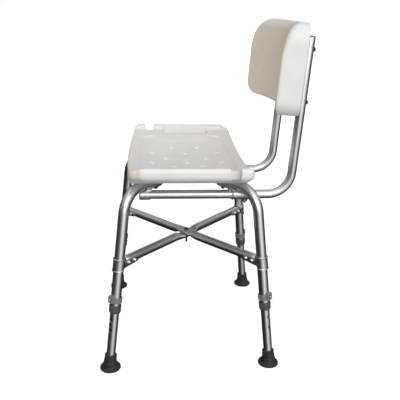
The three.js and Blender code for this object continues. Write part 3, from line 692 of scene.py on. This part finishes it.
def with_grip(body, x, y, z, end):
    """Adds the rounded bar at one end of the seat, and cuts the hand slot and the notch beside it."""
    local_x = -end * x
    local_y = SEAT_TURN_Y - end * (y - SEAT_TURN_Y)
    bar_x = np.abs(local_x + GRIP["x"]) - GRIP["half"]
    bar_z = np.abs(z - GRIP["z"]) - GRIP["half"]
    bar = meet(bar_x, bar_z, GRIP["soft"])
    bar = meet(bar, past_ends(local_y, GRIP), GRIP["end"])
    body = weld(body, bar, 6.0)
    off_slot = local_x + SLOT["x"]
    leaning = SLOT["lean"] * np.maximum(z - SLOT["lean_from"], 0)
    across = np.maximum(off_slot, -off_slot - leaning) - SLOT["half_wide"]
    slot = meet(across, past_ends(local_y, SLOT), SLOT["corner"])
    body = carve(body, slot, 3.5)
    notch_y = np.abs(local_y - NOTCH["y"]) - NOTCH["half_wide"]
    notch = meet(local_x + SEAT_HALF - NOTCH["depth"], notch_y, NOTCH["corner"])
    return carve(body, notch, 3.0)


def past_ends(y, feature):
    """How far y is past the ends of a feature that runs from its low to its high."""
    middle, half_long = (feature["low"] + feature["high"]) / 2, (feature["high"] - feature["low"]) / 2
    return np.abs(y - middle) - half_long


def with_drain(body, x, y, z, drain_x, drain_y):
    """Cuts one drain hole with its dimple above and the hollow of its moulding cone below."""
    away = np.hypot(x - drain_x, y - drain_y)
    top = seat_top(float(drain_x), float(drain_y))
    dimple = np.sqrt(away**2 + (z - top - DIMPLE["lift"]) ** 2) - DIMPLE["radius"]
    cone = away - 5.2 - 0.42 * np.maximum(top - 7 - z, 0)
    cone = np.maximum(cone * 0.92, z - top + 7)
    body = carve(body, dimple, 1.2)
    body = carve(body, cone, 1.5)
    return carve(body, away - DRAIN_RADIUS, 1.2)


def make_seat():
    low, high = (-253, -156, 466), (253, 140, 527)
    piece("seat", surface_mesh("seat_shell", seat_field, low, high, SHELL_PITCH), WHITE)


# Backrest panel, in its own leaning frame: y forward is negative, z up from its lower edge

PANEL_BASE = 630
PANEL_HEIGHT = 207.6
PANEL_HALF = 200
PANEL_REAR = (-4.7, 986)         # at the middle, and the arc's radius
PANEL_FRONT = (-35, 400)
PANEL_CORNERS = (34, 48)         # radii of the lower and the upper corners
PANEL_EDGES = (9, 27)            # roundness of the front edge, low down and at the top
PANEL_CROWN = 4                  # how far the top leans back


def panel_face(x, face):
    middle, arc = face
    return middle - x**2 / (2 * arc)


def panel_field(x, y, z):
    middle = PANEL_HEIGHT / 2
    corner = mix(*PANEL_CORNERS, smoothstep(z, middle - 20, middle + 20))
    outline = meet(np.abs(x) - PANEL_HALF, np.abs(z - middle) - middle, corner)
    top = smoothstep(z, middle + 20, 2 * middle)
    front = (panel_face(x, PANEL_FRONT) + PANEL_CROWN * top - y) * 0.95
    rear = y - panel_face(x, PANEL_REAR)
    body = meet(outline, rear, 3.2)
    body = meet(body, front, mix(*PANEL_EDGES, top))
    seam = np.hypot(outline, rear + 6) - 1.0
    return carve(body, seam, 0.5)


def on_back_tube(height):
    lean = Matrix.Rotation(-BACK_LEAN, 4, "X")
    return Matrix.Translation((0, back_tube_y(height) * MM, height * MM)) @ lean


def make_backrest():
    low, high = (-PANEL_HALF, -86, 0), (PANEL_HALF, -4, PANEL_HEIGHT)
    mesh = surface_mesh("backrest_shell", panel_field, low, high, SHELL_PITCH)
    piece("backrest_panel", mesh, WHITE, on_back_tube(PANEL_BASE))
    tube = back_tube_mesh("backrest_tube")
    tube_turn = turned_about_z(math.pi / 2)
    plug = turned_mesh("tube_plug", [
        (0, -14), (8.6, -14), (8.6, 0.3), (11.1, 0.3), (11.1, 1.4), (9.6, 2.9), (6, 3.4), (0, 3.4),
    ])
    bolt = back_bolt_mesh()
    lock = turned_mesh("back_lock_button", [
        (0, 401), (2.2, 401), (3, 402.2), (3, 410.2), (0, 410.2),
    ])
    for side, x in (("left", BACK_X), ("right", -BACK_X)):
        over = Matrix.Translation((x * MM, 0, 0))
        piece(f"backrest_tube_{side}", tube, ALUMINIUM, over @ tube_turn)
        piece(f"tube_plug_{side}", plug, GREY, over @ on_back_tube(BACK_TOP))
        for number, height in enumerate(BACK_BOLTS, 1):
            turn = Matrix.Rotation(-math.pi / 2, 4, "X")
            piece(f"backrest_bolt_{side}_{number}", bolt, STEEL, over @ on_back_tube(height) @ turn)
        piece(f"back_lock_button_{side}", lock, DARK, over @ Matrix.Translation((0, LOCK_Y * MM, 0)))


def back_bolt_mesh():
    """A domed socket-head bolt with a thin washer, its thread going forward into the panel."""
    face = INNER_TUBE_RADIUS + GAP
    socket = 2.3
    profile = [
        (0, -24), (2.0, -24), (2.5, -23.4), (2.5, face), (5.8, face), (5.8, face + 0.8),
        (5.1, face + 0.8), (4.9, face + 1.6), (4.2, face + 2.7), (3.2, face + 3.4),
        (socket, face + 3.6), (socket, face + 1.8), (0, face + 1.8),
    ]

    def socketed(radius, angle):
        return np.where((radius <= socket + 0.01) & (radius > 2.05), hexagon(2.0, angle), radius)

    return turned_mesh("backrest_bolt", profile, soft=0.15, form=socketed)


# Leg bows, cross braces and what joins them

def make_bows_and_braces():
    lift = BOW_FLAT / 2 + GAP
    piece("leg_bow_upper", bow_mesh("bow_upper", lift), ALUMINIUM, turned_about_z(FOOT_TURN))
    piece("leg_bow_lower", bow_mesh("bow_lower", -lift), ALUMINIUM, turned_about_z(-FOOT_TURN))
    lift = BRACE_FLAT / 2 + GAP / 2
    piece("cross_brace_upper", brace_mesh("brace_upper", lift), ALUMINIUM, turned_about_z(FOOT_TURN))
    piece("cross_brace_lower", brace_mesh("brace_lower", -lift), ALUMINIUM, turned_about_z(-FOOT_TURN))
    top, under = BRACE_HEIGHT + lift + BRACE_FLAT / 2, BRACE_HEIGHT - lift - BRACE_FLAT / 2
    bolt = [
        (0, 248), (2.3, 248), *thread(3, 248.6, under - 7), (3, under - 6), (3, top + GAP),
        (6.2, top + GAP), (6.2, top + 1.3), (5.4, top + 2.9), (3.6, top + 4.2), (0, top + 4.6),
    ]
    piece("brace_pivot_bolt", turned_mesh("pivot_bolt", bolt, soft=0.15), STEEL)
    nut = [
        (2.8, under - GAP), (5.0, under - GAP), (6.0, under - 1), (6.0, under - 5.2), (5.0, under - 6.3),
        (2.8, under - 6.3), (2.8, under - GAP),
    ]

    def six_sided(radius, angle):
        return np.minimum(radius, hexagon(5.2, angle))

    piece("brace_pivot_nut", turned_mesh("pivot_nut", nut[::-1], soft=0.15, form=six_sided), STEEL)


def seat_bolt_mesh(name, under):
    """A screw up through the bow into the seat, its flanged hexagon head below."""
    profile = [
        (0, under - 4.5), (3.4, under - 4.5), (4.3, under - 3.9), (4.3, under - 1.2), (5.5, under - 1.0),
        (5.5, under - 0.1), (3, under), (3, 478), (0, 478),
    ]

    def headed(radius, angle):
        return np.where(radius < 5, np.minimum(radius, hexagon(3.9, angle)), radius)

    return turned_mesh(name, profile, soft=0.2, form=headed)


EAR_GAP_HALF = INNER_TUBE_RADIUS + GAP
STRAP_THICK = 2.0


def bracket_field(x, y, z):
    """A strap round the leg in the plane Y 0, its two tapered ears reaching inward along the brace."""
    from_leg = x - FOOT_REACH + math.tan(LEG_LEAN) * z
    collar = np.abs(np.hypot(from_leg, y) - LEG_RADIUS - GAP - STRAP_THICK / 2) - STRAP_THICK / 2
    collar = np.maximum(collar, np.minimum(EAR_GAP_HALF - np.abs(y), -from_leg - 3))
    ears = np.abs(np.abs(y) - EAR_GAP_HALF - STRAP_THICK / 2) - STRAP_THICK / 2
    ears = np.maximum(ears, from_leg + 5)
    low, high = BRACKET_HEIGHTS
    ring_out = np.hypot(from_leg, y) - LEG_RADIUS - GAP - STRAP_THICK
    outward = smoothstep(from_leg, -9, 2)
    for edge in (low + 1.6, high - 1.6):
        lip = np.hypot(ring_out, z - edge) - 1.6 * outward + 0.4
        collar = weld(collar, np.maximum(lip, LEG_RADIUS + GAP - np.hypot(from_leg, y)), 0.5)
    strap = weld(collar, ears, 1.0)
    share = np.clip((x - BRACKET_TIP) / 44, 0, 1)
    full = smoothstep(from_leg, -9, 3)
    top = mix(mix(280.5, 281.5, share), high, full)
    bottom = mix(mix(268, 264, share), low, full)
    side = np.maximum(z - top, bottom - z)
    side = meet(side, BRACKET_TIP - x, 4.0)
    return meet(strap, side, 0.6)


def rivet_mesh():
    face = EAR_GAP_HALF + STRAP_THICK + GAP / 2
    dome = [(0, 5.0), (1.6, 4.9), (3.0, 4.3), (3.9, 3.1), (4.1, 1.6), (4.3, 1.2), (5.0, 1.0), (5.0, 0)]
    profile = [(r, -face - z) for r, z in dome] + [(2.5, -face), (2.5, face)]
    profile += [(r, face + z) for r, z in reversed(dome)]
    return turned_mesh("bracket_rivet", profile, soft=0)


# Legs: everything on a leaning leg is made upright on Z and turned out by LEAN_OUT

LEAN_OUT = Matrix.Translation((FOOT_REACH * MM, 0, 0)) @ Matrix.Rotation(-LEG_LEAN, 4, "Y")
TIP_CENTRE = 298.5


def tip_field(x, y, z):
    """A rubber tip at the foot of a leg: an upright bell, and a neck along the leg."""
    away = np.hypot(x - TIP_CENTRE, y)
    flange = meet(away - 25.9, np.abs(z - 2.9) - 2.9, 2.6)
    bell = away - mix(24.0, 15.5, smoothstep(z, 2.5, 13))
    bell = meet(bell * 0.8, np.abs(z - 9) - 9, 1)
    sine, cosine = math.sin(LEG_LEAN), math.cos(LEG_LEAN)
    along = -(x - FOOT_REACH) * sine + z * cosine
    off = (x - FOOT_REACH) * cosine + z * sine
    round_leg = np.hypot(off, y)
    taper = mix(17.0, 14.2, np.clip((along - 10) / 28, 0, 1))
    neck = meet(round_leg - taper, np.abs(along - 22.5) - 16.5, 1.2)
    bead = np.hypot(round_leg - 13.9, along - 37.2) - 1.5
    body = weld(weld(flange, bell, 2), neck, 4)
    body = weld(body, bead, 0.8)
    for radius in (8, 14, 20):
        body = carve(body, np.hypot(away - radius, z) - 1.1, 0.3)
    socket = meet(round_leg - INNER_TUBE_RADIUS - 0.2, 20 - along, 0.2)
    return np.maximum(carve(body, socket, 0.5), -z)


def clip_field(x, y, z):
    """The lock clip: a band round the leg, with a taller plate on its outer side for the button."""
    away = np.hypot(x, y)
    band = meet(away - 15.6, np.abs(z - 185) - 7, 1.2)
    plate = meet(np.abs(y) - 8, np.abs(z - 188.7) - 9.3, 3.0)
    plate = meet(plate, np.abs(x - 14) - 5.5, 1.2)
    groove = meet(np.abs(away - 15.8) - 0.8, np.abs(z - 185) - 1.0, 0.2)
    body = weld(carve(band, groove, 0.3), plate, 1.2)
    body = carve(body, away - LEG_RADIUS - 0.15, 0.3)
    hole = meet(np.hypot(y, z - BUTTON_HEIGHT) - 3.5, -x, 0.1)
    return carve(body, hole, 0.7)


def make_legs():
    tip = surface_mesh("leg_tip", tip_field, (270, -27, 0), (325, 27, 46), 0.95)
    clip = surface_mesh("leg_clip", clip_field, (-16, -16, 177), (20, 16, 201.5), 0.75)
    extension = extension_mesh("leg_extension")
    ferrule = turned_mesh("leg_ferrule", [
        (11.5, 151), (13.0, 151), (14.8, 155.5), (14.8, 163), (15, 164), (15, 171), (13.0, 171),
        (13.0, FERRULE_LIP), (11.5, FERRULE_LIP), (11.5, 151),
    ][::-1], soft=0.6)
    button = turned_mesh("leg_button", [
        (0, 15.9), (3, 15.9), (3, 21.4), (2.6, 22.6), (1.6, 23.4), (0, 23.6),
    ])
    bracket = surface_mesh("brace_bracket", bracket_field, (BRACKET_TIP, -17, 257), (281, 17, 289), 0.72)
    rivet = rivet_mesh()
    seat_bolt = seat_bolt_mesh("seat_bolt", BOW_HEIGHT - 16 - GAP)
    sideways = Matrix.Translation((0, 0, BUTTON_HEIGHT * MM)) @ Matrix.Rotation(math.pi / 2, 4, "Y")
    across = Matrix.Rotation(math.pi / 2, 4, "X")
    for corner, (turn, *_) in CORNERS.items():
        plane = turned_about_z(turn)
        piece(f"leg_tip_{corner}", tip, RUBBER, plane)
        piece(f"leg_extension_{corner}", extension, ALUMINIUM, plane @ LEAN_OUT)
        piece(f"leg_ferrule_{corner}", ferrule, DARK, plane @ LEAN_OUT)
        piece(f"leg_clip_{corner}", clip, GREY, plane @ LEAN_OUT)
        piece(f"leg_button_{corner}", button, BRIGHT_STEEL, plane @ LEAN_OUT @ sideways)
        piece(f"brace_bracket_{corner}", bracket, SHEET_METAL, plane)
        for number, radius in enumerate(RIVETS, 1):
            place = Matrix.Translation((radius * MM, 0, RIVET_HEIGHT * MM))
            piece(f"bracket_rivet_{corner}_{number}", rivet, BRIGHT_STEEL, plane @ place @ across)
        outward = Matrix.Translation((SEAT_BOLT_REACH * MM, 0, 0))
        piece(f"seat_bolt_{corner}", seat_bolt, STEEL, plane @ outward)
    middle_bolt = seat_bolt_mesh("seat_bolt_middle", BOW_HEIGHT - BOW_FLAT - 2 * GAP)
    piece("seat_bolt_centre", middle_bolt, STEEL)


# Sleeve brackets: a saddle under the bow, welded down to a sleeve that takes a backrest tube

SLEEVE_RUNS = {-1: (-126, -98), 1: (103, 147)}     # along Y, front and rear
SLEEVE_RADIUS = 13.3
SLEEVE_FLOOR = 2.5               # thickness of the front sleeves' closed ends
SADDLE = {"from": 116, "to": 172, "radius": 16}
LOCK_BOSS = 7.5
LOCK_HOLE = 3.3


def sleeve_field(turn, side, rear):
    """The field of one sleeve bracket, in the chair's frame."""
    cross_y = rear * BACK_X * math.tan(FOOT_TURN)
    start, end = SLEEVE_RUNS[rear]
    sine, cosine = math.sin(turn), math.cos(turn)

    def field(x, y, z):
        along = x * cosine + y * sine
        across = -x * sine + y * cosine
        off_bow = np.hypot(across, z - BOW_HEIGHT)
        past_saddle = np.maximum(SADDLE["from"] - along, along - SADDLE["to"])
        saddle = meet(off_bow - SADDLE["radius"], past_saddle, 1.0)
        saddle = meet(saddle, z - BOW_HEIGHT + 4, 1.0)
        off_tube = np.hypot(x - side * BACK_X, z - BACK_Z)
        off_lock = np.hypot(x - side * BACK_X, y - LOCK_Y)
        soft = 3.0 if rear < 0 else 0.8
        sleeve = meet(off_tube - SLEEVE_RADIUS, np.maximum(start - y, y - end), soft)
        if rear > 0:
            lip = np.hypot(off_tube - 13.0, y - start - 2.2) - 1.7
            sleeve = weld(sleeve, lip, 0.8)
            boss = meet(off_lock - LOCK_BOSS, np.abs(z - BACK_Z + 12.5) - 5.8, 1.5)
            sleeve = weld(sleeve, boss, 2.0)
        web = meet(np.abs(x - side * BACK_X) - 7, np.abs(y - cross_y) - 9, 2)
        web = np.maximum(web, np.abs(z - 437.5) - 5)
        body = weld(weld(saddle, web, 2.0), sleeve, 3.0)
        body = carve(body, off_bow - 12.9, 0.3)
        bore = off_tube - INNER_TUBE_RADIUS - GAP
        if rear < 0:
            bore = np.maximum(bore, start + SLEEVE_FLOOR - y)
        body = carve(body, bore, 0.4)
        bolt_away = np.hypot(along - SEAT_BOLT_REACH, across)
        body = np.maximum(body, 3.4 - bolt_away)
        if rear > 0:
            pin = np.maximum(off_lock - LOCK_HOLE, z - BACK_Z)
            body = carve(body, pin, 0.3)
        return body

    return field


def make_sleeve_brackets():
    for corner, (turn, side, rear) in CORNERS.items():
        bounds = [(side * 75, side * 142), (rear * 70, rear * 150)]
        low = (min(bounds[0]), min(bounds[1]), 404)
        high = (max(bounds[0]), max(bounds[1]), 450)
        mesh = surface_mesh(f"sleeve_bracket_{corner}", sleeve_field(turn, side, rear), low, high, 1.0)
        piece(f"sleeve_bracket_{corner}", mesh, SHEET_METAL)


# Stage: pale floor, soft light all round, and the camera

CAMERA = {
    "place": (1458.85, -98.25, 874.94), "yaw": 84.761, "pitch": 19.044, "roll": 1.356, "lens": 51.45,
}


def make_camera():
    yaw, pitch, roll = (math.radians(CAMERA[key]) for key in ("yaw", "pitch", "roll"))
    level = math.cos(pitch)
    forward = Vector((-math.sin(yaw) * level, math.cos(yaw) * level, -math.sin(pitch)))
    right = Vector((math.cos(yaw), math.sin(yaw), 0))
    up = right.cross(forward)
    across = math.cos(roll) * right + math.sin(roll) * up
    upright = -math.sin(roll) * right + math.cos(roll) * up
    data = bpy.data.cameras.new("camera")
    data.lens = CAMERA["lens"]
    data.clip_end = 100
    made = bpy.data.objects.new("camera", data)
    bpy.context.scene.collection.objects.link(made)
    turn = Matrix((across, upright, -forward)).transposed().to_4x4()
    made.matrix_world = SHIFT @ Matrix.Translation(Vector(CAMERA["place"]) * MM) @ turn
    bpy.context.scene.camera = made


def make_floor():
    """A wide pale floor, lit by the room, with a glow that fades in towards the distance."""
    far = 40.0
    mesh = bpy.data.meshes.new("floor")
    mesh.from_pydata([(-far, -far, 0), (far, -far, 0), (far, far, 0), (-far, far, 0)], [], [(0, 1, 2, 3)])
    floor = bpy.data.objects.new("floor", mesh)
    bpy.context.scene.collection.objects.link(floor)
    material = bpy.data.materials.new("floor_white")
    nodes = Nodes(material)
    nodes.tree.nodes.clear()
    seen = nodes.node("ShaderNodeLightPath")
    paint = nodes.node("ShaderNodeBsdfDiffuse")
    paint.inputs["Color"].default_value = (0.42, 0.42, 0.415, 1)
    lit = nodes.node("ShaderNodeEmission")
    near = nodes.node("ShaderNodeTexCoord")
    length = nodes.node("ShaderNodeVectorMath", operation="LENGTH")
    fade = nodes.node("ShaderNodeMapRange")
    for key, value in (("From Min", 0.6), ("From Max", 3.0), ("To Min", 0.78), ("To Max", 1.0)):
        fade.inputs[key].default_value = value
    strength = nodes.node("ShaderNodeMath", operation="MULTIPLY")
    both = nodes.node("ShaderNodeAddShader")
    out = nodes.node("ShaderNodeOutputMaterial")
    nodes.link(near.outputs["Object"], length.inputs[0])
    nodes.link(length.outputs["Value"], fade.inputs["Value"])
    nodes.link(fade.outputs["Result"], strength.inputs[0])
    nodes.link(seen.outputs["Is Camera Ray"], strength.inputs[1])
    nodes.link(strength.outputs[0], lit.inputs["Strength"])
    nodes.link(paint.outputs[0], both.inputs[0])
    nodes.link(lit.outputs[0], both.inputs[1])
    nodes.link(both.outputs[0], out.inputs["Surface"])
    mesh.materials.append(material)
    floor.visible_glossy = False


# Broad lights of the room: direction, sharpness, narrowing sideways, colour

LOBES = (
    ((0.91, 0.40, 0.15), 2.0, 1.8, (1.05, 1.05, 1.06)),
    ((0.75, 0.15, 0.65), 4.0, 0.0, (0.45, 0.45, 0.45)),
)


def make_room():
    """Soft neutral light from the room: bright above and on one side, and a white backdrop."""
    world = bpy.data.worlds.new("studio")
    bpy.context.scene.world = world
    nodes = Nodes(world)
    nodes.tree.nodes.clear()
    node = nodes.node
    direction = node("ShaderNodeTexCoord").outputs["Generated"]
    apart = node("ShaderNodeSeparateXYZ")
    nodes.link(direction, apart.inputs[0])
    height = node("ShaderNodeValToRGB")
    ramp = height.color_ramp
    ramp.elements[0].position = 0.0
    ramp.elements[0].color = (0.008, 0.009, 0.008, 1)
    ramp.elements[1].position = 1.0
    ramp.elements[1].color = (0.72, 0.72, 0.72, 1)
    for place, colour in ((0.40, (0.012, 0.013, 0.012)), (0.55, (0.10,) * 3), (0.72, (0.28,) * 3)):
        stop = ramp.elements.new(place)
        stop.color = (*colour, 1)
    lifted = node("ShaderNodeMapRange")
    lifted.inputs["From Min"].default_value = -1
    nodes.link(apart.outputs["Z"], lifted.inputs["Value"])
    nodes.link(lifted.outputs["Result"], height.inputs["Fac"])
    colour = height.outputs["Color"]

    def maths(operation, first, second):
        made = node("ShaderNodeMath", operation=operation)
        for socket, value in zip(made.inputs, (first, second)):
            if isinstance(value, (int, float)):
                socket.default_value = value
            else:
                nodes.link(value, socket)
        return made.outputs[0]

    def towards(vector):
        made = node("ShaderNodeVectorMath", operation="DOT_PRODUCT")
        made.inputs[1].default_value = Vector(vector).normalized()
        nodes.link(direction, made.inputs[0])
        return made.outputs["Value"]

    for vector, sharpness, narrowing, tint in LOBES:
        lobe = maths("POWER", maths("MAXIMUM", towards(vector), 0), sharpness)
        sideways = towards((-vector[1], vector[0], 0))
        beside = maths("SUBTRACT", 1, maths("MULTIPLY", sideways, sideways))
        lobe = maths("MULTIPLY", lobe, maths("POWER", beside, narrowing))
        tinted = node("ShaderNodeVectorMath", operation="SCALE")
        tinted.inputs[0].default_value = tint
        nodes.link(lobe, tinted.inputs["Scale"])
        total = node("ShaderNodeVectorMath", operation="ADD")
        nodes.link(colour, total.inputs[0])
        nodes.link(tinted.outputs[0], total.inputs[1])
        colour = total.outputs[0]
    light = node("ShaderNodeBackground")
    nodes.link(colour, light.inputs["Color"])
    white = node("ShaderNodeBackground")
    white.inputs["Color"].default_value = (1, 1, 1, 1)
    seen = node("ShaderNodeLightPath")
    shown = node("ShaderNodeMixShader")
    out = node("ShaderNodeOutputWorld")
    nodes.link(seen.outputs["Is Camera Ray"], shown.inputs["Fac"])
    nodes.link(light.outputs[0], shown.inputs[1])
    nodes.link(white.outputs[0], shown.inputs[2])
    nodes.link(shown.outputs[0], out.inputs["Surface"])


def make_softbox(name, place, target, size, power, colour=(1, 1, 1), glossy=True):
    data = bpy.data.lights.new(name, "AREA")
    data.shape = "DISK"
    data.size = size
    data.energy = power
    data.color = colour
    made = bpy.data.objects.new(name, data)
    bpy.context.scene.collection.objects.link(made)
    made.location = place
    made.rotation_mode = "QUATERNION"
    made.rotation_quaternion = (Vector(target) - Vector(place)).to_track_quat("-Z", "Y")
    made.visible_glossy = glossy


make_camera()
make_seat()
make_backrest()
make_bows_and_braces()
make_legs()
make_sleeve_brackets()
make_floor()
make_room()
make_softbox("key", (2.8, 0.35, 1.45), (0, 0, 0.5), 1.7, 20)
make_softbox("warm", (0.3, -1.9, 1.1), (0, 0.2, 0.74), 1.2, 9.5, (1.0, 0.68, 0.28), glossy=False)
make_softbox("fill", (1.5, 1.9, 1.5), (0, 0.1, 0.6), 1.6, 7, glossy=False)
bpy.context.scene.view_settings.view_transform = "Standard"
